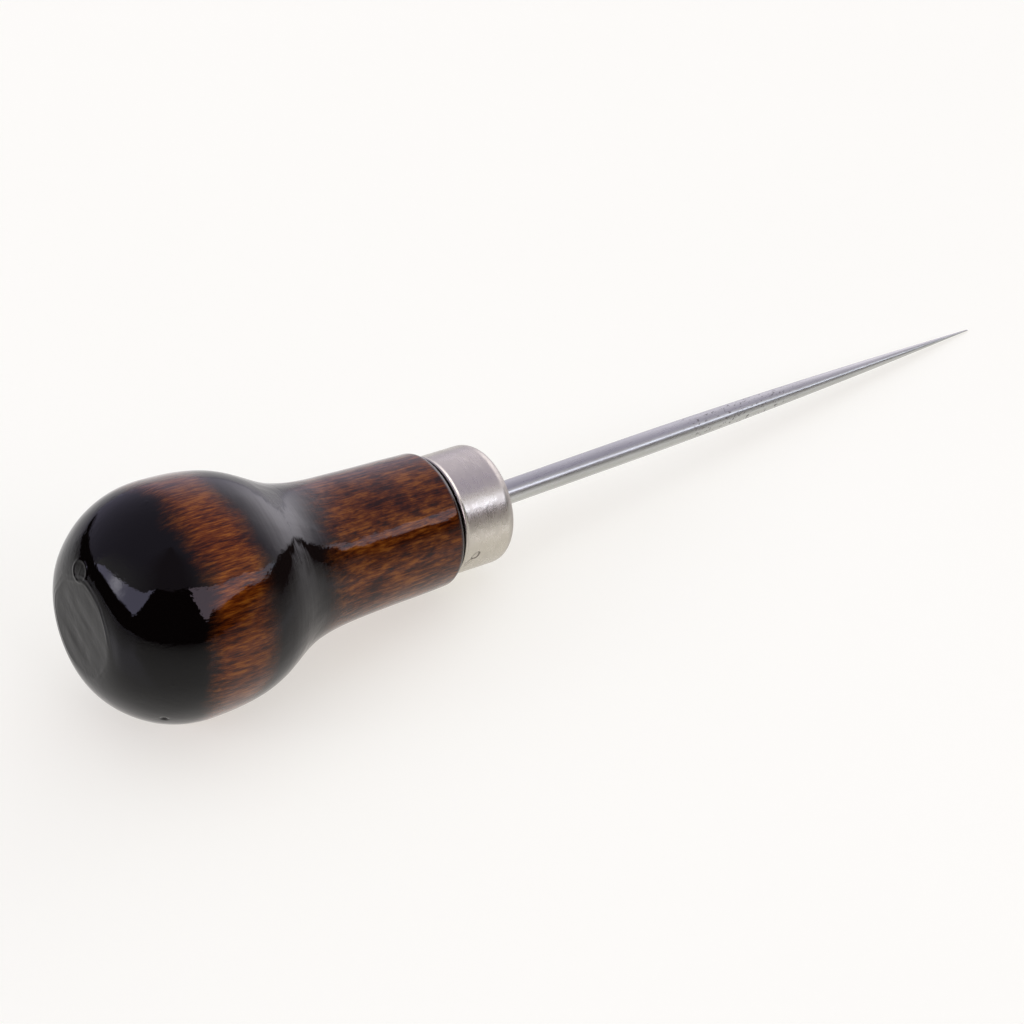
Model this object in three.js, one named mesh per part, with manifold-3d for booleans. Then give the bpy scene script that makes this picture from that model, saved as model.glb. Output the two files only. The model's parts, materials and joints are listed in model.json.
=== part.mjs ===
// Scratch awl: a turned pear-shaped wooden handle, a drawn metal ferrule and a round tapered blade.
// Millimetres, +Z up. The awl lies on the ground plane on the widest part of its handle and on its
// needle tip, with the tip towards +X.
import * as THREE from 'three';
import { mergeVertices } from 'three/addons/utils/BufferGeometryUtils.js';
import Module from 'manifold-3d';

const wasm = await Module();
wasm.setup();

// ---- driving dimensions ----
const GAP = 0.3; // drawn clearance between pieces that press together on the real tool

const BULB_R = 16; // widest radius of the handle
const BULB_Z = 13; // distance of the widest part from the butt
const BUTT_FLAT_R = 6.2; // radius of the flat butt face, before it rolls over into the bulb
const WAIST_R = 9.9;
const WAIST_Z = 38;
const SHOULDER_R = 9.35; // radius where the grip ends, just behind the ferrule
const SHOULDER_Z = 53.1;
const SHOULDER_ROUND = 1.1;

const FERRULE_R = 8.35;
const FERRULE_WALL = 0.7;
const FERRULE_FRONT_Z = 62.3; // distance of the ferrule's front face from the butt
const FERRULE_ROUND = 1.8;
const FERRULE_LIP = 0.25; // how far the rear edge turns outwards
const STAKE = { length: 1.3, width: 0.4, depth: 0.3, z: 55.6, turn: -78, slant: 41 }; // mm, degrees

const BLADE_R = 1.7;
const BLADE_OUT = 90.8; // blade length in front of the ferrule
const BLADE_STRAIGHT = 24; // parallel length before the taper starts
const BLADE_TIP_R = 0.12;
const TAPER_POWER = 1.73; // 1 is a plain cone, higher bellies the taper out
const SHANK_IN = 5; // round shank length inside the handle
const TANG_IN = 32; // depth of the tang's end behind the ferrule's front face
const TANG_HALF_DIAGONAL = 1.65;
const TANG_END_HALF_DIAGONAL = 0.9;
const LEAN = THREE.MathUtils.degToRad(2); // how far the blade leans off the handle's own axis

const BODY_SIDES = 40;
const BLADE_SIDES = 24;

const finish = {
  wood: new THREE.MeshStandardMaterial({ color: 0x4a2410, roughness: 0.18, metalness: 0 }),
  nickel: new THREE.MeshStandardMaterial({ color: 0xb9b4a8, roughness: 0.32, metalness: 1 }),
  steel: new THREE.MeshStandardMaterial({ color: 0x9c9aa0, roughness: 0.2, metalness: 1 }),
};

// ---- helpers ----
// Revolves a closed outline (x = radius, y = distance along the axis) about +Z, with the middle of
// one facet facing local +X.
function turned(outline, sides) {
  const points = outline.getPoints(10);
  const geometry = new THREE.LatheGeometry(points, sides, Math.PI / sides);
  geometry.rotateX(Math.PI / 2);
  return geometry;
}

function toManifold(geometry) {
  const bare = geometry.clone();
  bare.deleteAttribute('normal');
  bare.deleteAttribute('uv');
  const welded = mergeVertices(bare, 1e-4);
  return new wasm.Manifold(new wasm.Mesh({
    numProp: 3,
    vertProperties: new Float32Array(welded.attributes.position.array),
    triVerts: new Uint32Array(welded.index.array),
  }));
}

function fromManifold(solid) {
  const mesh = solid.getMesh();
  const geometry = new THREE.BufferGeometry();
  geometry.setAttribute('position', new THREE.BufferAttribute(mesh.vertProperties, 3));
  geometry.setIndex(new THREE.BufferAttribute(mesh.triVerts, 1));
  geometry.computeVertexNormals();
  return geometry;
}

// A point or solid stated along the blade's own axis, brought into the handle's axes: the blade
// pivots in the centre of the ferrule's front face.
function alongBlade(geometry) {
  geometry.rotateY(-LEAN);
  geometry.translate(0, 0, FERRULE_FRONT_Z);
  return geometry;
}

// ---- handle ----
function handleOutline() {
  const spigotR = FERRULE_R - FERRULE_WALL - GAP;
  const spigotFront = FERRULE_FRONT_Z - FERRULE_WALL - GAP;
  const spigotRound = FERRULE_ROUND - FERRULE_WALL;
  const outline = new THREE.Path();
  outline.moveTo(0, 0);
  outline.lineTo(BUTT_FLAT_R, 0);
  outline.bezierCurveTo(10.1, 0, BULB_R, 5.6, BULB_R, BULB_Z);
  outline.bezierCurveTo(BULB_R, 28.1, WAIST_R + 0.5, 23.8, WAIST_R, WAIST_Z);
  outline.lineTo(SHOULDER_R, SHOULDER_Z - SHOULDER_ROUND);
  outline.absarc(
    SHOULDER_R - SHOULDER_ROUND, SHOULDER_Z - SHOULDER_ROUND, SHOULDER_ROUND, 0, Math.PI / 2, false,
  );
  outline.lineTo(spigotR, SHOULDER_Z);
  outline.lineTo(spigotR, spigotFront - spigotRound);
  outline.lineTo(spigotR - spigotRound, spigotFront);
  outline.lineTo(0, spigotFront);
  return outline;
}

// The hole for the tang is drilled along the blade's own axis.
function tangBore() {
  const length = TANG_IN + 2;
  const bore = new THREE.CylinderGeometry(BLADE_R + GAP, BLADE_R + GAP, length, BLADE_SIDES);
  bore.rotateX(Math.PI / 2);
  bore.translate(0, 0, -length / 2 + 1);
  return alongBlade(bore);
}

function makeHandle() {
  const body = toManifold(turned(handleOutline(), BODY_SIDES));
  const geometry = fromManifold(body.subtract(toManifold(tangBore())));
  const mesh = new THREE.Mesh(geometry, finish.wood);
  mesh.name = 'handle';
  return mesh;
}

// ---- ferrule ----
// One drawn cup: the rear edge turns out a little, the front corner is round, and the front face is
// pierced for the blade.
function ferruleOutline() {
  const rear = SHOULDER_Z + GAP;
  const innerR = FERRULE_R - FERRULE_WALL;
  const innerRound = FERRULE_ROUND - FERRULE_WALL;
  const cornerZ = FERRULE_FRONT_Z - FERRULE_ROUND;
  const holeR = BLADE_R + GAP;
  const outline = new THREE.Path();
  outline.moveTo(innerR, rear);
  outline.lineTo(FERRULE_R + FERRULE_LIP, rear);
  outline.lineTo(FERRULE_R + FERRULE_LIP, rear + 0.25);
  outline.lineTo(FERRULE_R, rear + 0.6);
  outline.lineTo(FERRULE_R, cornerZ);
  outline.absarc(FERRULE_R - FERRULE_ROUND, cornerZ, FERRULE_ROUND, 0, Math.PI / 2, false);
  outline.lineTo(holeR, FERRULE_FRONT_Z);
  outline.lineTo(holeR, FERRULE_FRONT_Z - FERRULE_WALL);
  outline.lineTo(innerR - innerRound, FERRULE_FRONT_Z - FERRULE_WALL);
  outline.absarc(innerR - innerRound, cornerZ, innerRound, Math.PI / 2, 0, true);
  outline.lineTo(innerR, rear);
  return outline;
}

// The slanted punch mark that locks the cup onto the wood.
function stakeMark() {
  const mark = new THREE.BoxGeometry(STAKE.depth * 2, STAKE.width, STAKE.length);
  mark.rotateX(THREE.MathUtils.degToRad(STAKE.slant));
  mark.translate(FERRULE_R, 0, STAKE.z);
  mark.rotateZ(THREE.MathUtils.degToRad(STAKE.turn));
  return mark;
}

function makeFerrule() {
  const cup = toManifold(turned(ferruleOutline(), BODY_SIDES));
  const geometry = fromManifold(cup.subtract(toManifold(stakeMark())));
  const mesh = new THREE.Mesh(geometry, finish.nickel);
  mesh.name = 'ferrule';
  return mesh;
}

// ---- blade ----
function bladeRadius(z) {
  const t = Math.max(0, (z - BLADE_STRAIGHT) / (BLADE_OUT - BLADE_STRAIGHT));
  return BLADE_TIP_R + (BLADE_R - BLADE_TIP_R) * (1 - t ** TAPER_POWER);
}

function bladeOutline() {
  const taperSteps = 14;
  const outline = new THREE.Path();
  outline.moveTo(0, -SHANK_IN);
  outline.lineTo(BLADE_R, -SHANK_IN);
  for (let i = 0; i <= taperSteps; i += 1) {
    const z = BLADE_STRAIGHT + (BLADE_OUT - BLADE_STRAIGHT) * (i / taperSteps);
    outline.lineTo(bladeRadius(z), z);
  }
  outline.lineTo(0, BLADE_OUT + BLADE_TIP_R);
  return outline;
}

// A four-sided tang tapers back from the round shank into the wood.
function tang() {
  const overlap = 0.5;
  const length = TANG_IN - SHANK_IN + overlap;
  const taper = new THREE.CylinderGeometry(TANG_HALF_DIAGONAL, TANG_END_HALF_DIAGONAL, length, 4);
  taper.rotateX(Math.PI / 2);
  taper.translate(0, 0, -SHANK_IN + overlap - length / 2);
  return taper;
}

function makeBlade() {
  const round = toManifold(turned(bladeOutline(), BLADE_SIDES));
  const geometry = alongBlade(fromManifold(round.add(toManifold(tang()))));
  const mesh = new THREE.Mesh(geometry, finish.steel);
  mesh.name = 'blade';
  return mesh;
}

// ---- lying pose ----
// How far the handle's axis tips down so that the bulb and the needle tip touch the same plane.
function noseDown() {
  const ahead = FERRULE_FRONT_Z - BULB_Z + BLADE_OUT * Math.cos(LEAN);
  const above = BLADE_OUT * Math.sin(LEAN);
  return Math.asin(BULB_R / Math.hypot(ahead, above)) + Math.atan2(above, ahead);
}

const awl = new THREE.Group();
awl.name = 'scratch_awl';
awl.add(makeHandle(), makeFerrule(), makeBlade());
awl.rotation.y = Math.PI / 2 + noseDown();
awl.updateMatrixWorld(true);

const extent = new THREE.Box3().setFromObject(awl, true);
awl.position.set(-(extent.min.x + extent.max.x) / 2, 0, -extent.min.z);
awl.updateMatrixWorld(true);

export default awl;
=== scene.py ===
"""Looks of the scratch awl: turned and lacquered handle, plated ferrule, polished tapered blade."""
import json
import math

import bpy
import numpy as np
from mathutils import Matrix, Vector


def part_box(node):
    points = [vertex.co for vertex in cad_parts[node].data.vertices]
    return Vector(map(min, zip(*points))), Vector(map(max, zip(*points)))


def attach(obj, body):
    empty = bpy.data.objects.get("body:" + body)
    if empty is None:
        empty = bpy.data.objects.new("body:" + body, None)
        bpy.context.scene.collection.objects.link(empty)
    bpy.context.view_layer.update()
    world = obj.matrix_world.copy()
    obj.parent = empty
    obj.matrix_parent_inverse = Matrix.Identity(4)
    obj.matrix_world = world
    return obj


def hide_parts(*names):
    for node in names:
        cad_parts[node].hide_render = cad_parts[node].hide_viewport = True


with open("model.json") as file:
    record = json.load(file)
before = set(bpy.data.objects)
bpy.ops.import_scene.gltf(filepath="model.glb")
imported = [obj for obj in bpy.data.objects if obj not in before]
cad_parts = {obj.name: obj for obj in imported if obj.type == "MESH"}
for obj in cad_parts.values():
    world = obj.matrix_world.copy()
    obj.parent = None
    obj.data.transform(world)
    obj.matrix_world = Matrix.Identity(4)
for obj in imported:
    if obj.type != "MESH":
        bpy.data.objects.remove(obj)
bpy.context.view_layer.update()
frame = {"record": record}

MM = 0.001

# ---------------------------------------------------------------- frame
# Local axes of the turned pieces: origin in the middle of the butt face, +Z along the handle
# towards the tip, +X upwards, +Y towards the side that the camera sees.
MOUNTS = {m["name"]: m for m in frame["record"]["mounts"]}
BUTT = Vector(MOUNTS["butt_face"]["pos_m"])
AXIS = Vector(MOUNTS["ferrule_stop_face"]["axis"]).normalized()
FRONT_MM = (Vector(MOUNTS["ferrule_stop_face"]["pos_m"]) - BUTT).dot(AXIS) / MM
SIDE = Vector((0, -1, 0))
UP = SIDE.cross(AXIS)
HANDLE_PLACE = Matrix.Translation(BUTT) @ Matrix((UP, SIDE, AXIS)).transposed().to_4x4()

# ---------------------------------------------------------------- driving dimensions, mm
BULB_R = (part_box("handle")[1].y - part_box("handle")[0].y) / 2 / MM * 1.003
BULB_Z = 13.0
BUTT_FLAT_R = 6.2
WAIST_R = 9.9
WAIST_Z = 38.0
SHOULDER_R = 9.35
SHOULDER_Z = FRONT_MM - 9.2
SHOULDER_ROUND = 1.1
FERRULE_R = 8.35
FERRULE_WALL = 0.7
FERRULE_ROUND = 1.8
FERRULE_LIP = 0.25       # how far the rear edge is turned out
LIP_ROUND = 0.22
LIP_END = 0.85           # the wall runs straight from here, measured from the rear edge
GAP = 0.3
BLADE_R = 1.7
BLADE_STRAIGHT = 24.0
BLADE_TIP_R = 0.09
TAPER_POWER = 1.73
SHANK_IN = 5.0           # the blade stays round this far inside the handle
TANG_IN = 32.0
TANG_ROOT_HALF = 1.25    # half the width of the four-sided tang at the shank and at its end
TANG_END_HALF = 0.62
LEAN = math.radians(2)

AROUND = 420             # steps round the handle and the ferrule
BLADE_AROUND = 96

# The blade turns upwards off the handle's axis, about the middle of the ferrule's front face.
TIP_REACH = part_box("blade")[1].x - (BUTT + AXIS * FRONT_MM * MM).x
LEAN_AXIS = AXIS * math.cos(LEAN) + UP * math.sin(LEAN)
LEAN_UP = SIDE.cross(LEAN_AXIS)
BLADE_OUT = TIP_REACH / LEAN_AXIS.x / MM
BLADE_PLACE = (
    Matrix.Translation(BUTT + AXIS * FRONT_MM * MM)
    @ Matrix((LEAN_UP, SIDE, LEAN_AXIS)).transposed().to_4x4()
)


# ---------------------------------------------------------------- noise for surface detail
def lattice(cells, seed):
    """A repeatable random number from -1 to 1 for each whole-numbered cell."""
    x, y, z = (cells[..., i].astype(np.int64) for i in range(3))
    n = (x * 374761393 + y * 668265263 + z * 2147483647 + seed * 1274126177) & 0xFFFFFFFF
    n = ((n ^ (n >> 13)) * 1274126177) & 0xFFFFFFFF
    return ((n ^ (n >> 16)) & 0xFFFF) / 32767.5 - 1.0


def noise(points, seed):
    """Smooth noise from -1 to 1 with features about one unit across."""
    base = np.floor(points)
    part = points - base
    part = part * part * part * (part * (part * 6 - 15) + 10)
    total = np.zeros(points.shape[:-1])
    for corner in np.ndindex(2, 2, 2):
        weight = np.prod(np.where(corner, part, 1 - part), axis=-1)
        total += weight * lattice(base + np.array(corner), seed)
    return total


def layered(points, seed, octaves):
    """Noise with finer and weaker layers added."""
    return sum(noise(points * 2 ** k, seed + k) / 2 ** k for k in range(octaves))


def bump_at(distance, radius):
    """1 in the middle of a round feature, falling smoothly to 0 at its radius."""
    t = np.clip(1 - distance / radius, 0, 1)
    return t * t * (3 - 2 * t)


def bell(distance, half_width):
    """1 at no distance, falling off on both sides in a bell shape."""
    return np.exp(-(distance / half_width) ** 2)


# ---------------------------------------------------------------- outlines
def bezier(points, steps):
    t = np.linspace(0, 1, steps + 1)[:, None]
    a, b, c, d = np.array(points, float)
    return (1 - t) ** 3 * a + 3 * (1 - t) ** 2 * t * b + 3 * (1 - t) * t * t * c + t ** 3 * d


def line(start, end, step):
    steps = max(1, round(math.dist(start, end) / step))
    t = np.linspace(0, 1, steps + 1)[:, None]
    return np.array(start, float) * (1 - t) + np.array(end, float) * t


def arc(centre, radius, start_deg, end_deg, steps):
    a = np.radians(np.linspace(start_deg, end_deg, steps + 1))
    return np.stack([centre[0] + radius * np.cos(a), centre[1] + radius * np.sin(a)], axis=1)


def join(*stretches):
    """Chains stretches of (radius, height) points, leaving out the points they share."""
    points = [stretches[0]]
    for stretch in stretches[1:]:
        same = np.allclose(points[-1][-1], stretch[0], atol=1e-6)
        points.append(stretch[1:] if same else stretch)
    return np.concatenate(points)


# ---------------------------------------------------------------- mesh building
def grid_mesh(name, rings, place, closed=False):
    """A surface through rings of points in mm. Its ends are capped, unless it closes on itself."""
    count, around = rings.shape[:2]
    verts = rings.reshape(-1, 3)
    faces = []
    last = count if closed else count - 1
    for i in range(last):
        a, b = i * around, (i + 1) % count * around
        faces += [(a + j, a + (j + 1) % around, b + (j + 1) % around, b + j) for j in range(around)]
    if not closed:
        start, end = len(verts), len(verts) + 1
        verts = np.vstack([verts, rings[0].mean(axis=0), rings[-1].mean(axis=0)])
        tail = (count - 1) * around
        faces += [(start, (j + 1) % around, j) for j in range(around)]
        faces += [(end, tail + j, tail + (j + 1) % around) for j in range(around)]
    mesh = bpy.data.meshes.new(name)
    mesh.from_pydata((verts * MM).tolist(), [], faces)
    mesh.shade_smooth()
    mesh.update()
    piece = bpy.data.objects.new(name, mesh)
    bpy.context.scene.collection.objects.link(piece)
    piece.matrix_world = place
    return piece


def angles(around):
    return np.linspace(0, 2 * math.pi, around, endpoint=False)


def ring_points(radius, height, turn):
    """One ring of points; radius is one number or one for each turn."""
    return np.stack([radius * np.cos(turn), radius * np.sin(turn), 0 * turn + height], axis=-1)


def revolve(outline, turn):
    """Rings of points round the axis, and the outward normals, for an outline of (radius, height)."""
    radius, height = outline[:, 0:1], outline[:, 1:2]
    slope = np.gradient(outline, axis=0)
    slope /= np.maximum(np.linalg.norm(slope, axis=1, keepdims=True), 1e-9)
    c, s = np.cos(turn)[None], np.sin(turn)[None]
    points = np.stack([radius * c, radius * s, height + 0 * c], axis=-1)
    out, along = slope[:, 1:2], -slope[:, 0:1]
    normals = np.stack([out * c, out * s, along + 0 * c], axis=-1)
    return points, normals


# ---------------------------------------------------------------- handle
RIPPLE_SLANT = (0.93, 0.37)   # direction across the saw ripples on the butt
RIPPLE_HEIGHT = 0.030
POOL_HEIGHT = 0.030        # lacquer that pooled over the ripples
MARKS_FULL_R = 3.6         # ripples and pools are at full height out to this radius
MARKS_FADE = 4.2           # and fade out over this width
BEADS = [                  # beads of lacquer round the butt: radius, half width, height
    (6.7, 0.22, 0.045),
    (7.4, 0.20, 0.027),
]
BLISTER = (7.8, -1.65, 0.4)   # middle of a lacquer blister at the edge of the butt
BLISTER_R = 1.36
BLISTER_RIM = 0.060        # height of its rim, depth of its middle, height of the seam across it
BLISTER_HOLLOW = 0.040
BLISTER_SEAM = 0.018
SWELL_HEIGHT = 0.075       # slow unevenness of the hand-turned wood under the lacquer
FINE_SWELL_HEIGHT = 0.010
WAIST_SWELL_HEIGHT = 0.02
NIBS = [                   # dust nibs under the lacquer: distance along, degrees round, radius
    (9.6, -6, 0.22), (5.3, 96, 0.25), (3.5, 22, 0.15), (4.1, 27, 0.13), (3.2, 15, 0.12),
    (3.9, 19, 0.11), (2.9, 10, 0.12), (4.6, 31, 0.12), (6.9, 62, 0.16), (44.0, 33, 0.2),
]
NIB_STEEPNESS = 0.35       # height of a nib for its radius
PIT = (6.1, 130, 0.7)      # a small pit low on the bulb
PIT_DEPTH = 0.25
DUSTY = (11.3, 4.4, 2.6)   # middle of a patch where dust settled in the lacquer
PAINTED_SHEEN_SPOT = (14.4, 6.7, 14.0)  # middle of a painted golden sheen on the bulb's upper side, where the light catches the wood

HANDLE_LINE = join(
    bezier([(BUTT_FLAT_R, 0), (10.1, 0), (BULB_R, 5.6), (BULB_R, BULB_Z)], 110),
    bezier([(BULB_R, BULB_Z), (BULB_R, 28.1), (WAIST_R + 0.5, 23.8), (WAIST_R, WAIST_Z)], 150),
    line((WAIST_R, WAIST_Z), (SHOULDER_R, SHOULDER_Z - SHOULDER_ROUND), 0.22),
    arc((SHOULDER_R - SHOULDER_ROUND, SHOULDER_Z - SHOULDER_ROUND), SHOULDER_ROUND, 0, 90, 16),
)


def butt_relief(points):
    """Height in mm of the saw ripples, the lacquer over them, its beads and the blister."""
    x, y = points[..., 0], points[..., 1]
    r = np.hypot(x, y)
    flat = bump_at(np.maximum(r - MARKS_FULL_R, 0), MARKS_FADE)
    across = RIPPLE_SLANT[0] * x + RIPPLE_SLANT[1] * y
    along = RIPPLE_SLANT[0] * y - RIPPLE_SLANT[1] * x
    ripples = layered(np.stack([across * 0.5, along * 0.12, 0 * x], axis=-1), 5, 2)
    pools = layered(np.stack([x * 0.34, y * 0.34, 0 * x], axis=-1), 15, 2)
    height = (RIPPLE_HEIGHT * ripples + POOL_HEIGHT * pools) * flat

    wobble = 0.45 * noise(points * 0.3, 61)
    patchy = np.clip(0.4 + noise(points * 0.25, 62), 0, 1)
    for radius, half_width, bead_height in BEADS:
        height += bead_height * patchy * bell(r - radius - wobble, half_width)

    out = np.linalg.norm((points - np.array(BLISTER)) * np.array([1, 0.85, 1]), axis=-1)
    height += BLISTER_RIM * bell(out - BLISTER_R, 0.17) - BLISTER_HOLLOW * bell(out, 0.95)
    height += BLISTER_SEAM * bell(y - BLISTER[1], 0.16) * bell(out, 0.7)
    return height


def handle_relief(points):
    """Height in mm of everything that breaks the turned surface."""
    z = points[..., 2]
    swell = SWELL_HEIGHT * noise(points * 0.12, 1) + FINE_SWELL_HEIGHT * layered(points * 0.33, 2, 2)
    waist = bell(z - 29, 8)
    swell += WAIST_SWELL_HEIGHT * waist * layered(points * np.array([0.5, 0.5, 0.25]), 9, 2)
    height = swell * np.clip(z / 2, 0, 1)
    dots = [(*nib, NIB_STEEPNESS * nib[2]) for nib in NIBS] + [(*PIT, -PIT_DEPTH)]
    for along, turn, radius, rise in dots:
        a = math.radians(turn)
        ring = np.interp(along, HANDLE_LINE[:, 1], HANDLE_LINE[:, 0])
        centre = np.array([ring * math.cos(a), ring * math.sin(a), along])
        height += rise * bump_at(np.linalg.norm(points - centre, axis=-1), radius)
    near_butt = 1 - np.clip((z - 1.0) / 1.8, 0, 1)
    return height + butt_relief(points) * near_butt


def build_handle():
    """Bulb, waist and grip, then the spigot inside the ferrule and the hole that takes the tang."""
    turn = angles(AROUND)
    spigot_r = FERRULE_R - FERRULE_WALL - GAP
    spigot_z = FRONT_MM - FERRULE_WALL - GAP
    spigot_bevel = 1.1
    bore_r = BLADE_R + GAP
    seen = join(line((0.12, 0), (BUTT_FLAT_R, 0), 0.12), HANDLE_LINE)
    points, normals = revolve(seen, turn)
    points = points + normals * handle_relief(points)[..., None]
    spigot = [
        (spigot_r, SHOULDER_Z),
        (spigot_r, spigot_z - spigot_bevel),
        (spigot_r - spigot_bevel, spigot_z),
    ]
    bore = [(bore_r, z) for z in (spigot_z, spigot_z - 10, spigot_z - 22, FRONT_MM - TANG_IN - 1)]
    inner, _ = revolve(np.array(spigot + bore), turn)
    # The bore follows the blade's lean.
    inner[len(spigot):, :, 0] -= (FRONT_MM - inner[len(spigot):, :, 2]) * math.tan(LEAN)
    return grid_mesh("handle_turned", np.concatenate([points, inner]), HANDLE_PLACE)


# ---------------------------------------------------------------- ferrule
STAKE = (55.6, 102)        # distance along and degrees round of the punch mark
STAKE_SLANT = (0.755, 0.656)   # how far its long side runs forwards and round the ferrule
STAKE_HALF_LENGTH = 0.64
STAKE_HALF_WIDTH = 0.36
STAKE_DEPTH = 0.13
STAKE_RIM = 0.03           # height of the metal pushed up beside it
CREASE_DEPTH = 0.10
CREASE_HALF_WIDTH = 0.13
CREASES = [                # fine creases that run back from it to the rear edge: two ends each
    ((55.1, 104.5), (53.9, 112)),
    ((55.0, 107.0), (53.8, 116)),
]


def from_stake(along, turn_deg):
    """Distance along the axis and arc length round the ferrule, in mm, from the punch mark."""
    turn = (turn_deg - STAKE[1] + 180) % 360 - 180
    return np.stack([along - STAKE[0], np.radians(turn) * FERRULE_R], axis=-1)


def crease_shape(points, start, end):
    """A narrow groove between two places, 1 deep at its start and shallower at its end."""
    t = np.clip(((points - start) @ (end - start)) / ((end - start) @ (end - start)), 0, 1)
    distance = np.linalg.norm(points - start - t[..., None] * (end - start), axis=-1)
    return bell(distance, CREASE_HALF_WIDTH) * (1 - 0.4 * t)


def ferrule_relief(points):
    """Height in mm of the punch mark, the creases behind it and the wall's own unevenness."""
    places = from_stake(points[..., 2], np.degrees(np.arctan2(points[..., 1], points[..., 0])))
    along, arc_length = places[..., 0], places[..., 1]
    lengthwise = np.abs(along * STAKE_SLANT[0] - arc_length * STAKE_SLANT[1])
    crosswise = np.abs(along * STAKE_SLANT[1] + arc_length * STAKE_SLANT[0])
    dent = np.exp(-(lengthwise / STAKE_HALF_LENGTH) ** 7 - (crosswise / STAKE_HALF_WIDTH) ** 6)
    beside = crosswise - 1.5 * STAKE_HALF_WIDTH
    rim = np.exp(-(lengthwise / 0.85) ** 4 - beside ** 2 / 0.022)
    height = STAKE_RIM * rim - STAKE_DEPTH * dent
    for start, end in CREASES:
        height -= CREASE_DEPTH * crease_shape(places, from_stake(*start), from_stake(*end))
    height += 0.005 * layered(points * 0.7, 31, 2) + 0.012 * noise(points * 0.16, 33)
    return height


def build_ferrule():
    """One drawn cup: rear edge turned out, round front corner, front face pierced for the blade."""
    rear = SHOULDER_Z + GAP
    inner_r = FERRULE_R - FERRULE_WALL
    inner_round = FERRULE_ROUND - FERRULE_WALL
    inner_front = FRONT_MM - FERRULE_WALL
    corner = FRONT_MM - FERRULE_ROUND
    hole_r = BLADE_R + GAP
    hole_round = 0.25
    rear_bevel = (0.15, 0.2)
    lip_r = FERRULE_R + FERRULE_LIP
    lip_top = rear + LIP_ROUND
    straight = rear + LIP_END
    outside = join(
        arc((lip_r - LIP_ROUND, lip_top), LIP_ROUND, -90, 0, 8),
        bezier([
            (lip_r, lip_top), (lip_r, rear + 0.5), (FERRULE_R, rear + 0.45), (FERRULE_R, straight),
        ], 10),
        line((FERRULE_R, straight), (FERRULE_R, corner), 0.09),
        arc((FERRULE_R - FERRULE_ROUND, corner), FERRULE_ROUND, 0, 90, 26),
        line((FERRULE_R - FERRULE_ROUND, FRONT_MM), (hole_r + hole_round, FRONT_MM), 0.4),
        arc((hole_r + hole_round, FRONT_MM - hole_round), hole_round, 90, 180, 6),
    )
    inside = join(
        line((hole_r, inner_front), (inner_r - inner_round, inner_front), 1.5),
        arc((inner_r - inner_round, corner), inner_round, 90, 0, 6),
        line((inner_r, corner), (inner_r, rear + rear_bevel[1]), 2.0),
        line((inner_r, rear + rear_bevel[1]), (inner_r + rear_bevel[0], rear), 0.3),
    )
    turn = angles(AROUND)
    points, normals = revolve(outside, turn)
    points = points + normals * ferrule_relief(points)[..., None]
    inner, _ = revolve(inside, turn)
    return grid_mesh("ferrule_cup", np.concatenate([points, inner]), HANDLE_PLACE, closed=True)


# ---------------------------------------------------------------- blade
def blade_radius(z):
    t = np.clip((z - BLADE_STRAIGHT) / (BLADE_OUT - BLADE_STRAIGHT), 0, 1)
    return BLADE_TIP_R + (BLADE_R - BLADE_TIP_R) * (1 - t ** TAPER_POWER)


def blade_relief(points):
    """The grinding leaves the taper very slightly uneven."""
    z = points[..., 2]
    uneven = 0.006 * layered(points * np.array([1.2, 1.2, 0.05]), 41, 2)
    return uneven * np.clip(z / 4, 0, 1) * np.clip(blade_radius(z), 0, 1)


def tang_rings(turn):
    """The tang's rings, from its end forwards, pass from square to round."""
    rings = []
    for depth in np.linspace(TANG_IN, SHANK_IN + 0.6, 14):
        square = np.clip((depth - SHANK_IN) / 3, 0, 1)
        half = np.interp(depth, [SHANK_IN, TANG_IN], [TANG_ROOT_HALF, TANG_END_HALF])
        side = half / np.maximum(np.abs(np.cos(turn)), np.abs(np.sin(turn)))
        side = np.minimum(side, half * 1.3)
        rings.append(ring_points(BLADE_R * 0.96 * (1 - square) + side * square, -depth, turn))
    return np.array(rings)


def build_blade():
    """Round blade with its needle tip, and the four-sided tang that is driven into the handle."""
    turn = angles(BLADE_AROUND)
    shank_z = np.linspace(-SHANK_IN, BLADE_STRAIGHT, 70)
    taper_z = np.linspace(BLADE_STRAIGHT, BLADE_OUT, 220)[1:]
    z_out = np.concatenate([shank_z, taper_z])
    points, normals = revolve(np.stack([blade_radius(z_out), z_out], axis=1), turn)
    points = points + normals * blade_relief(points)[..., None]
    tip_ring = ring_points(BLADE_TIP_R * 0.7, BLADE_OUT + BLADE_TIP_R * 0.6, turn)[None]
    return grid_mesh("blade_steel", np.concatenate([tang_rings(turn), points, tip_ring]), BLADE_PLACE)


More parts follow.
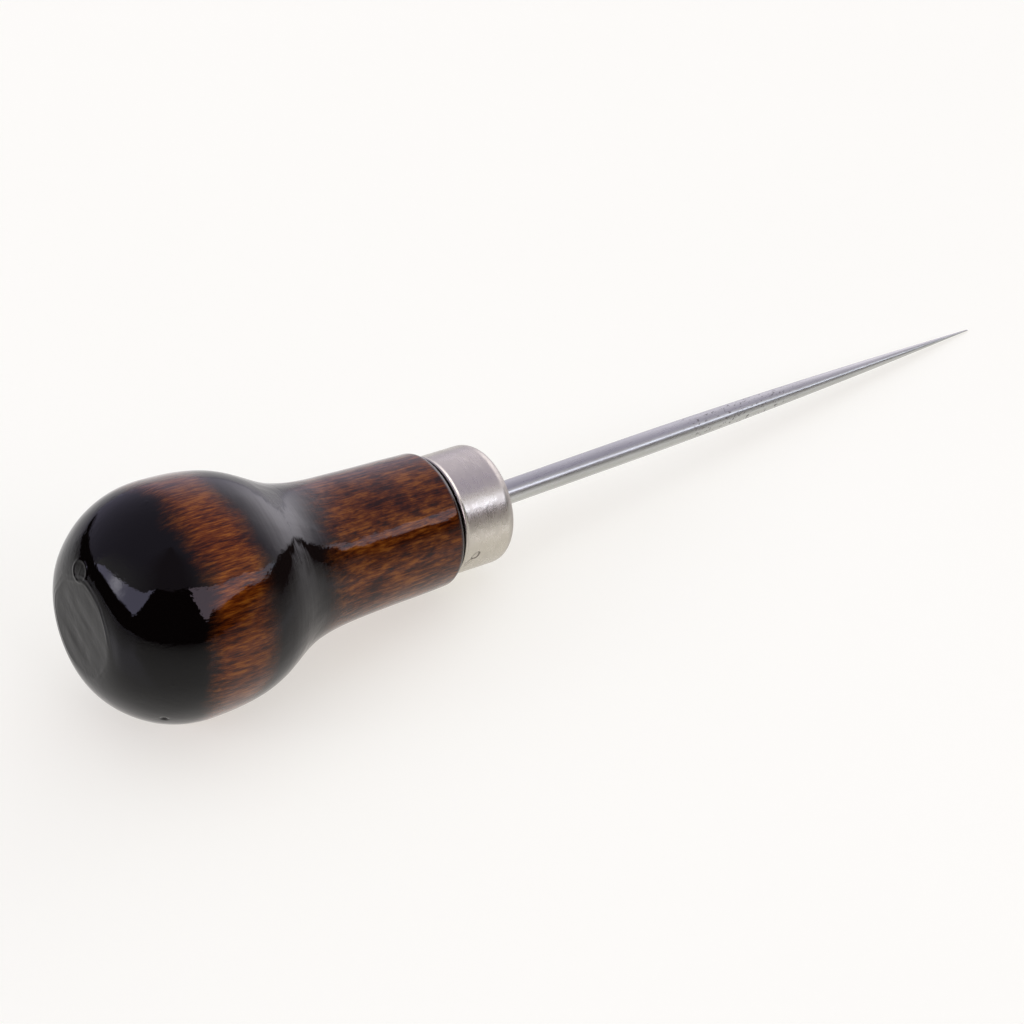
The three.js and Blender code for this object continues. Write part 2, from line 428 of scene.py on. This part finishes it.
# ---------------------------------------------------------------- material helpers
class Tree:
    """Short ways to add and join shader nodes."""

    def __init__(self, owner):
        owner.use_nodes = True
        self.owner = owner
        self.nodes = owner.node_tree.nodes
        self.links = owner.node_tree.links

    def put(self, socket, value):
        if isinstance(value, bpy.types.NodeSocket):
            self.links.new(value, socket)
        else:
            socket.default_value = value

    def math(self, operation, a, b=0.0):
        node = self.nodes.new("ShaderNodeMath")
        node.operation = operation
        for socket, value in zip(node.inputs, (a, b)):
            self.put(socket, value)
        return node.outputs[0]

    def plus(self, a, b):
        return self.math("ADD", a, b)

    def minus(self, a, b):
        return self.math("SUBTRACT", a, b)

    def times(self, a, b):
        return self.math("MULTIPLY", a, b)

    def off(self, value, middle):
        """How far a value is from a middle one, either way."""
        return self.math("ABSOLUTE", self.minus(value, middle))

    def vector_math(self, operation, vector, other):
        node = self.nodes.new("ShaderNodeVectorMath")
        node.operation = operation
        self.put(node.inputs[0], vector)
        node.inputs[1].default_value = other
        return node.outputs

    def scaled(self, vector, factors):
        return self.vector_math("MULTIPLY", vector, factors)["Vector"]

    def distance(self, vector, point):
        return self.vector_math("DISTANCE", vector, point)["Value"]

    def along(self, vector, axis):
        return self.vector_math("DOT_PRODUCT", vector, axis)["Value"]

    def millimetres(self):
        """The piece's own coordinates in mm."""
        coordinates = self.nodes.new("ShaderNodeTexCoord").outputs["Object"]
        return self.scaled(coordinates, (1 / MM, 1 / MM, 1 / MM))

    def parts(self, vector):
        node = self.nodes.new("ShaderNodeSeparateXYZ")
        self.put(node.inputs[0], vector)
        return node.outputs

    def noise(self, vector, scale, detail=3.0, roughness=0.55, distortion=0.0):
        """Noise from 0 to 1; scale is one number or one for each axis, in features per mm."""
        node = self.nodes.new("ShaderNodeTexNoise")
        if isinstance(scale, tuple):
            vector, scale = self.scaled(vector, scale), 1.0
        self.put(node.inputs["Vector"], vector)
        node.inputs["Scale"].default_value = scale
        node.inputs["Detail"].default_value = detail
        node.inputs["Roughness"].default_value = roughness
        node.inputs["Distortion"].default_value = distortion
        return node.outputs["Fac"]

    def step(self, value, low, high, from_value=0.0, to_value=1.0):
        """A smooth change from one value to another as value passes from low to high."""
        node = self.nodes.new("ShaderNodeMapRange")
        node.interpolation_type = "SMOOTHSTEP"
        self.put(node.inputs["Value"], value)
        node.inputs["From Min"].default_value = low
        node.inputs["From Max"].default_value = high
        node.inputs["To Min"].default_value = from_value
        node.inputs["To Max"].default_value = to_value
        return node.outputs["Result"]

    def between(self, value, rise, fall):
        """1 between a smooth rise and a smooth fall, each given as where it starts and ends."""
        return self.times(self.step(value, *rise), self.step(value, *fall, 1.0, 0.0))

    def ramp(self, value, *stops):
        node = self.nodes.new("ShaderNodeValToRGB")
        elements = node.color_ramp.elements
        while len(elements) < len(stops):
            elements.new(0.5)
        for element, (place, colour) in zip(elements, stops):
            element.position = place
            element.color = (*colour, 1.0)
        self.put(node.inputs[0], value)
        return node.outputs["Color"]

    def mix(self, factor, a, b, blend="MIX"):
        node = self.nodes.new("ShaderNodeMix")
        node.data_type = "RGBA"
        node.blend_type = blend
        self.put(node.inputs[0], factor)
        for socket, value in zip(node.inputs[6:8], (a, b)):
            self.put(socket, (*value, 1.0) if isinstance(value, tuple) else value)
        return node.outputs[2]

    def bump(self, height, distance_mm, strength=1.0):
        node = self.nodes.new("ShaderNodeBump")
        node.inputs["Strength"].default_value = strength
        node.inputs["Distance"].default_value = distance_mm * MM
        self.put(node.inputs["Height"], height)
        return node.outputs["Normal"]

    def set(self, **values):
        shader = self.nodes["Principled BSDF"]
        for name, value in values.items():
            self.put(shader.inputs[name.replace("_", " ")], value)


# ---------------------------------------------------------------- wood
# Distances along the handle in mm.
GRIP_FIGURE = (24.0, 32.0)     # the amber streaks of the bulb give way to the grip's russet figure
CAP_STAIN_EDGE = (9.0, 13.0)
WAIST_STAIN = ((16.6, 20.6), (29.5, 36.5))
FRONT_STAIN = (51.8, 52.7)
LACQUER_RINGS = ((19.0, 25.0), (29.0, 35.0))   # where turning marks show in the lacquer
AMBER = (
    (0.39, (0.025, 0.0036, 0.0007)),
    (0.46, (0.066, 0.0122, 0.0015)),
    (0.53, (0.120, 0.0275, 0.0026)),
    (0.61, (0.208, 0.0630, 0.0065)),
)
RUSSET = (
    (0.37, (0.018, 0.0029, 0.0009)),
    (0.45, (0.056, 0.0106, 0.0016)),
    (0.53, (0.104, 0.0245, 0.0031)),
    (0.64, (0.206, 0.0640, 0.0080)),
)
BUTT_BLACK = (0.0016, 0.0010, 0.0009)
WAIST_BLACK = (0.0055, 0.0036, 0.0032)


def wood_grain(t, p, streak, fine, on_grip):
    """Long even streaks on the bulb, shorter blotchy figure on the grip."""
    cloud = t.noise(p, (0.42, 0.42, 0.20), detail=2.0, roughness=0.5)
    fleck = t.noise(p, (1.1, 1.1, 0.55), detail=3.0, roughness=0.6)
    grain = t.plus(t.times(streak, 0.55), t.times(fine, 0.45))
    grain = t.plus(grain, t.times(t.times(t.minus(fleck, 0.5), on_grip), 0.45))
    return t.plus(grain, t.times(t.minus(cloud, 0.5), 0.28))


def clear_of_stain(t, p, z, streak):
    """1 on bare wood, 0 on black stain, whose edges wander and feather a little along the grain."""
    wander = t.times(t.minus(t.noise(p, 0.14, detail=2.0), 0.5), 5.0)
    feather = t.times(t.minus(streak, 0.5), 2.0)
    edge = t.plus(z, t.plus(wander, feather))
    off_cap = t.step(edge, *CAP_STAIN_EDGE)
    off_waist = t.minus(1.0, t.between(edge, *WAIST_STAIN))
    off_front = t.step(z, *FRONT_STAIN, 1.0, 0.0)
    return t.times(t.times(off_cap, off_front), off_waist)


def lacquer_height(t, p, z, fine):
    """Grain, lumps, turning marks and settled dust in the lacquer's surface, in mm."""
    lumps = t.noise(p, (1.5, 1.5, 1.1), detail=2.0, roughness=0.5)
    lumpy = t.step(t.noise(p, 0.2, detail=1.0), 0.42, 0.60, 0.005, 0.021)
    rings = t.noise(p, (0.12, 0.12, 3.2), detail=2.0, roughness=0.6)
    ridges = t.noise(p, (0.10, 0.10, 0.9), detail=1.0)
    turned = t.plus(t.times(rings, 0.010), t.times(ridges, 0.025))
    dust = t.step(t.distance(p, DUSTY), 1.0, 3.4, 0.016, 0.0)
    height = t.plus(t.times(fine, 0.001), t.times(lumps, lumpy))
    height = t.plus(height, t.times(turned, t.between(z, *LACQUER_RINGS)))
    return t.plus(height, t.times(t.noise(p, 2.8, detail=2.0), dust))


def wood_material():
    """Streaky hardwood, stained black at the butt and the waist, under thick gloss lacquer."""
    t = Tree(bpy.data.materials.new("stained_lacquered_wood"))
    p = t.millimetres()
    z = t.parts(p)["Z"]
    streak = t.noise(p, (2.1, 2.1, 0.24), detail=4.0, roughness=0.62)
    fine = t.noise(p, (5.5, 5.5, 0.60), detail=3.0, roughness=0.6)
    on_grip = t.step(z, *GRIP_FIGURE)
    grain = wood_grain(t, p, streak, fine, on_grip)

    wood = t.mix(on_grip, t.ramp(grain, *AMBER), t.ramp(grain, *RUSSET))
    # Painted sheen: the wood is brighter and more golden round one spot on the bulb's upper side, and a
    # little darker elsewhere.
    painted_sheen = t.step(t.distance(p, PAINTED_SHEEN_SPOT), 2.0, 9.0, 1.30, 0.95)
    wood = t.mix(1.0, wood, painted_sheen, "MULTIPLY")
    clear = clear_of_stain(t, p, z, streak)
    black = t.mix(t.step(z, 8.0, 16.0), BUTT_BLACK, WAIST_BLACK)

    # Through the lacquer the bare fibres have a sheen of their own colour.
    t.set(
        Base_Color=t.mix(clear, black, wood),
        Metallic=t.times(clear, 0.5),
        Roughness=t.step(grain, 0.4, 0.6, 0.38, 0.28),
        Normal=t.bump(grain, 0.03),
        Specular_IOR_Level=0.0,
        Coat_Weight=1.0,
        Coat_Roughness=0.02,
        Coat_IOR=1.31,
        Coat_Normal=t.bump(lacquer_height(t, p, z, fine), 1.0),
    )
    return t.owner


# ---------------------------------------------------------------- nickel
NICKEL = (
    (0.35, (0.515, 0.480, 0.415)),
    (0.52, (0.555, 0.518, 0.445)),
    (0.68, (0.585, 0.548, 0.480)),
)
NICKEL_SCUFF = (0.36, 0.34, 0.33)
# colour of the painted shade on the top of the front corner
PAINTED_CORNER_SHADE = (0.38, 0.355, 0.32)
# colour of the painted shade round the punch mark and in its creases
STAKE_PAINTED_SHADE = (0.09, 0.075, 0.06)


def stake_shade_marks(t, p):
    """Painted shade along the edge of the punch mark and in the creases behind it. It is measured only
    along the mark's two axes, so the wall opposite the mark shows the same painted shade, without the
    dent."""
    turn = math.radians(STAKE[1])
    centre = Vector((FERRULE_R * math.cos(turn), FERRULE_R * math.sin(turn), STAKE[0]))
    round_it = Vector((-math.sin(turn), math.cos(turn), 0))
    forward = Vector((0, 0, 1))
    length_axis = forward * STAKE_SLANT[0] - round_it * STAKE_SLANT[1]
    cross_axis = forward * STAKE_SLANT[1] + round_it * STAKE_SLANT[0]
    lengthwise = t.minus(t.along(p, length_axis), centre.dot(length_axis))
    crosswise = t.minus(t.along(p, cross_axis), centre.dot(cross_axis))

    long_part = t.times(lengthwise, 1 / 0.68)
    cross_part = t.times(t.plus(crosswise, 0.04), 1 / 0.46)
    from_middle = t.math("SQRT", t.plus(t.times(long_part, long_part), t.times(cross_part, cross_part)))
    ring = t.step(t.off(from_middle, 1.0), 0.09, 0.28, 1.0, 0.0)

    behind = t.between(lengthwise, (-2.7, -2.2), (-0.8, -0.6))
    crease = t.step(t.off(crosswise, 0.10), 0.03, 0.14, 0.7, 0.0)
    second = t.step(t.off(crosswise, 0.46), 0.03, 0.12, 0.5, 0.0)
    return t.math("MAXIMUM", ring, t.times(t.math("MAXIMUM", crease, second), behind))


def nickel_material():
    """Satin nickel plate: faint drawing marks, mottling, small scuffs, and a rougher front corner with
    painted shade on its top.
    """
    t = Tree(bpy.data.materials.new("satin_nickel"))
    p = t.millimetres()
    mottle = t.noise(p, 0.9, detail=4.0, roughness=0.6)
    cloud = t.noise(p, 0.25, detail=2.0)
    drawn = t.noise(p, (0.5, 0.5, 4.5), detail=3.0)
    scuffs = t.noise(p, (1.2, 5.0, 3.2), detail=4.0, roughness=0.7, distortion=0.6)
    marks = t.step(scuffs, 0.60, 0.72)
    tone = t.plus(t.times(mottle, 0.6), t.times(cloud, 0.4))
    corner = t.step(t.parts(p)["Z"], FRONT_MM - FERRULE_ROUND, FRONT_MM - 0.8)
    # Painted shade: the front corner's colour is darkened, most on its upper side.
    corner_top_shade = t.times(corner, t.step(t.parts(p)["X"], -3.0, 7.0, 0.25, 0.95))

    colour = t.mix(t.times(marks, 0.25), t.ramp(tone, *NICKEL), NICKEL_SCUFF)
    colour = t.mix(corner_top_shade, colour, PAINTED_CORNER_SHADE)
    # Painted shade round the punch mark and in the creases behind it.
    colour = t.mix(t.times(stake_shade_marks(t, p), 0.75), colour, STAKE_PAINTED_SHADE)
    roughness = t.plus(t.step(tone, 0.35, 0.65, 0.33, 0.25), t.times(marks, 0.10))
    roughness = t.plus(roughness, t.times(t.minus(drawn, 0.5), 0.14))
    roughness = t.plus(roughness, t.times(corner, 0.25))
    height = t.plus(t.times(mottle, 0.8), t.times(drawn, 0.12))
    t.set(
        Base_Color=colour,
        Metallic=1.0,
        Roughness=roughness,
        Normal=t.bump(height, 0.028),
    )
    return t.owner


# ---------------------------------------------------------------- steel
STEEL = (
    (0.35, (0.400, 0.404, 0.374)),
    (0.65, (0.455, 0.459, 0.426)),
)
STEEL_FLECK = (0.10, 0.09, 0.085)
FLECKS = ((33.0, 38.0), (50.0, 60.0))   # the stretch of blade with dark flecks, mm from the ferrule


def steel_material():
    """Polished steel: fine lengthwise polishing lines and a few dark flecks, under a thin clear film."""
    t = Tree(bpy.data.materials.new("polished_steel"))
    p = t.millimetres()
    z = t.parts(p)["Z"]
    lines = t.noise(p, (9.0, 9.0, 0.25), detail=3.0, roughness=0.65)
    cloud = t.noise(p, (0.5, 0.5, 0.08), detail=3.0)
    speckle = t.noise(p, (2.6, 2.6, 1.6), detail=3.0, roughness=0.65)
    flecks = t.times(t.step(speckle, 0.575, 0.63), t.between(z, *FLECKS))
    t.set(
        Base_Color=t.mix(t.times(flecks, 0.75), t.ramp(cloud, *STEEL), STEEL_FLECK),
        Metallic=1.0,
        Roughness=t.plus(t.step(lines, 0.35, 0.65, 0.27, 0.35), t.times(flecks, 0.3)),
        Normal=t.bump(lines, 0.01, 0.25),
        Coat_Weight=1.0,
        Coat_Roughness=0.07,
        Coat_IOR=1.7,
    )
    return t.owner


# ---------------------------------------------------------------- pieces
PIECES = [
    (build_handle, "handle", wood_material, "handle_wood"),
    (build_ferrule, "ferrule", nickel_material, "ferrule_nickel"),
    (build_blade, "blade", steel_material, "blade_steel"),
]
for build, node_name, make_material, slot_name in PIECES:
    piece = build()
    piece.data.materials.append(make_material())
    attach(piece, "root")
    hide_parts(node_name)


# ---------------------------------------------------------------- table
TABLE_HALF = 4.0     # metres
TABLE_PALE = (
    (0.3, (0.400, 0.445, 0.400)),
    (0.7, (0.410, 0.455, 0.410)),
)
TABLE_GLOW = (0.60, 0.565, 0.525, 1.0)


def table_material():
    """Plain pale table that glows softly, and that the gloss sees as satin at a low angle."""
    t = Tree(bpy.data.materials.new("pale_table"))
    coordinates = t.nodes.new("ShaderNodeTexCoord").outputs["Object"]
    t.set(
        Base_Color=t.ramp(t.noise(coordinates, 6.0, detail=2.0), *TABLE_PALE),
        Roughness=0.9,
        Specular_IOR_Level=0.0,
        Emission_Color=TABLE_GLOW,
        Emission_Strength=1.0,
    )
    satin = t.nodes.new("ShaderNodeBsdfGlossy")
    satin.inputs["Roughness"].default_value = 0.2
    fresnel = t.nodes.new("ShaderNodeFresnel").outputs[0]
    mirrored = t.nodes.new("ShaderNodeLightPath").outputs["Is Glossy Ray"]
    both = t.nodes.new("ShaderNodeMixShader")
    t.put(both.inputs[0], t.times(fresnel, mirrored))
    t.put(both.inputs[1], t.nodes["Principled BSDF"].outputs[0])
    t.put(both.inputs[2], satin.outputs[0])
    t.put(t.nodes["Material Output"].inputs["Surface"], both.outputs[0])
    t.owner.cycles.emission_sampling = "NONE"
    return t.owner


def build_table():
    mesh = bpy.data.meshes.new("floor")
    corners = [(-1, -1), (1, -1), (1, 1), (-1, 1)]
    mesh.from_pydata([(x * TABLE_HALF, y * TABLE_HALF, 0) for x, y in corners], [], [(0, 1, 2, 3)])
    mesh.materials.append(table_material())
    floor = bpy.data.objects.new("floor", mesh)
    bpy.context.scene.collection.objects.link(floor)


build_table()

# ---------------------------------------------------------------- camera
CAMERA_AZIMUTH = math.radians(-35.58)
CAMERA_ELEVATION = math.radians(39.46)
CAMERA_DISTANCE = 410.0 * MM
CAMERA_AIM = Vector((-11.02, -2.85, 8.0)) * MM
HEADING = Vector((-math.sin(CAMERA_AZIMUTH), math.cos(CAMERA_AZIMUTH), 0))
RIGHT = Vector((math.cos(CAMERA_AZIMUTH), math.sin(CAMERA_AZIMUTH), 0))


def build_camera():
    data = bpy.data.cameras.new("camera")
    data.lens = 105
    data.sensor_width = 36
    data.clip_start = 0.01
    camera = bpy.data.objects.new("camera", data)
    bpy.context.scene.collection.objects.link(camera)
    look = HEADING * math.cos(CAMERA_ELEVATION) - Vector((0, 0, 1)) * math.sin(CAMERA_ELEVATION)
    camera.location = CAMERA_AIM - look * CAMERA_DISTANCE
    camera.rotation_euler = look.to_track_quat("-Z", "Y").to_euler()
    bpy.context.scene.camera = camera


build_camera()

# ---------------------------------------------------------------- studio
# Skylines of the room, in degrees: turn round the table, counted to the right from the camera's
# side, then height of the top edge. Below DARK the room is dark, from there up to BRIGHT stand two
# bright panels, above is the dim ceiling. Between them, on the camera's side, DARK rises to 47
# degrees and there is no panel.
DARK = [
    (-180, 0), (-145, 0), (-120, 12), (-98, 15), (-88, 17), (-75, 18), (-50, 18), (-39, 15),
    (-21, 47), (28, 47), (31, 32), (34, 15), (38, 15), (45, 19), (60, 18.5), (68, 20), (74, 22),
    (79, 19.5), (90, 17.5), (105, 16), (115, 13), (125, 6), (135, 0), (180, 0),
]
BRIGHT = [
    (-180, 0), (-100, 0), (-98, 17), (-88, 24), (-78, 30), (-65, 34), (-50, 37.5), (-36, 41),
    (-21, 47), (-20, 0), (27, 0), (28, 46), (45, 41.5), (60, 36), (68, 32.5), (75, 32), (80, 32.5),
    (83, 30), (90, 24.5), (100, 20), (108, 14), (110, 0), (180, 0),
]
CEILING_MIDDLE = (0.28, 0.24, 0.30)
CEILING_SIDES = (0.47, 0.44, 0.60)
PANEL_SPILL = (0.80, 0.78, 0.81)     # light that the panels throw on the ceiling over them
GLOW = (3.75, 3.6, 3.9)              # a soft light at the far right, low down
PANEL_LEFT = (2.70, 2.60, 3.65)
PANEL_RIGHT = (3.10, 2.50, 3.00)
PANEL_FAR_RIGHT = (2.40, 2.55, 3.10)
HOT_SPOT = (8.5, 8.3, 9.5)           # the brightest spot of the left panel
DARK_ROOM = (0.012, 0.010, 0.009)
LOW_WALL = (0.66, 0.61, 0.58)        # a pale strip at the right, along the table's horizon
BACKDROP = (0.955, 0.945, 0.92)


def build_world():
    """A dim ceiling, bright panels to both sides, a soft glow at the far right and a dark room below
    them, with a pale strip low at the right. The camera itself sees a plain pale backdrop."""
    world = bpy.data.worlds.new("studio")
    bpy.context.scene.world = world
    t = Tree(world)
    t.nodes.clear()

    def skyline(turn, points):
        node = t.nodes.new("ShaderNodeFloatCurve")
        curve = node.mapping.curves[0]
        while len(curve.points) < len(points):
            curve.points.new(0.5, 0.5)
        for point, (place, height) in zip(curve.points, points):
            point.location = ((place + 180) / 360, height / 90)
            point.handle_type = "VECTOR"
        node.mapping.update()
        t.put(node.inputs["Value"], t.times(t.plus(turn, 180.0), 1 / 360))
        return t.times(node.outputs[0], 90.0)

    def hump(value, centre, width):
        off = t.times(t.minus(value, centre), 1 / width)
        return t.math("EXPONENT", t.times(t.times(off, off), -0.5))

    def above(value, level, softness):
        return t.step(t.minus(value, level), -softness, softness)

    where = t.nodes.new("ShaderNodeTexCoord").outputs["Generated"]
    height = t.math("DEGREES", t.math("ARCSINE", t.along(where, (0, 0, 1))))
    turn = t.math("DEGREES", t.math("ARCTAN2", t.along(where, RIGHT), t.along(where, -HEADING)))
    round_turn = t.plus(turn, t.step(turn, -100.0, -99.0, 360.0, 0.0))
    top = skyline(turn, BRIGHT)

    to_the_sides = t.step(t.off(turn, 3.5), 20.0, 75.0)
    sky = t.mix(to_the_sides, CEILING_MIDDLE, CEILING_SIDES)
    over_panel = t.times(t.step(top, 6.0, 16.0), to_the_sides)
    spill = t.times(t.step(t.minus(height, top), 0.0, 30.0, 1.0, 0.0), over_panel)
    sky = t.mix(spill, sky, PANEL_SPILL)
    sky = t.mix(t.times(hump(round_turn, 142.0, 19.5), hump(height, 8.5, 16.0)), sky, GLOW)

    panel = t.mix(t.step(turn, -20.0, 20.0), PANEL_LEFT, PANEL_RIGHT)
    panel = t.mix(t.step(turn, 52.0, 74.0), panel, PANEL_FAR_RIGHT)
    panel = t.mix(t.times(hump(turn, -69.0, 5.5), hump(height, 28.0, 9.0)), panel, HOT_SPOT)
    sky = t.mix(above(height, top, 0.8), panel, sky)
    sky = t.mix(above(height, skyline(turn, DARK), 1.2), DARK_ROOM, sky)
    sky = t.mix(t.times(hump(turn, 77.0, 7.5), hump(height, 1.0, 4.5)), sky, LOW_WALL)

    seen = t.nodes.new("ShaderNodeLightPath").outputs["Is Camera Ray"]
    background = t.nodes.new("ShaderNodeBackground")
    t.put(background.inputs["Color"], t.mix(seen, sky, BACKDROP))
    output = t.nodes.new("ShaderNodeOutputWorld")
    t.put(output.inputs["Surface"], background.outputs[0])


def build_overhead():
    """A big soft light straight above, which fills the shadows and isn't mirrored in the gloss."""
    size, height, brightness = 2.4, 2.0, 0.65
    data = bpy.data.lights.new("overhead", "AREA")
    data.shape = "SQUARE"
    data.size = size
    data.energy = brightness * math.pi * size * size
    data.color = (1.0, 0.96, 0.86)
    light = bpy.data.objects.new("overhead", data)
    bpy.context.scene.collection.objects.link(light)
    light.location = (0, 0, height)
    light.visible_camera = False
    light.visible_glossy = False


build_overhead()
build_world()
bpy.context.scene.view_settings.view_transform = "Standard"
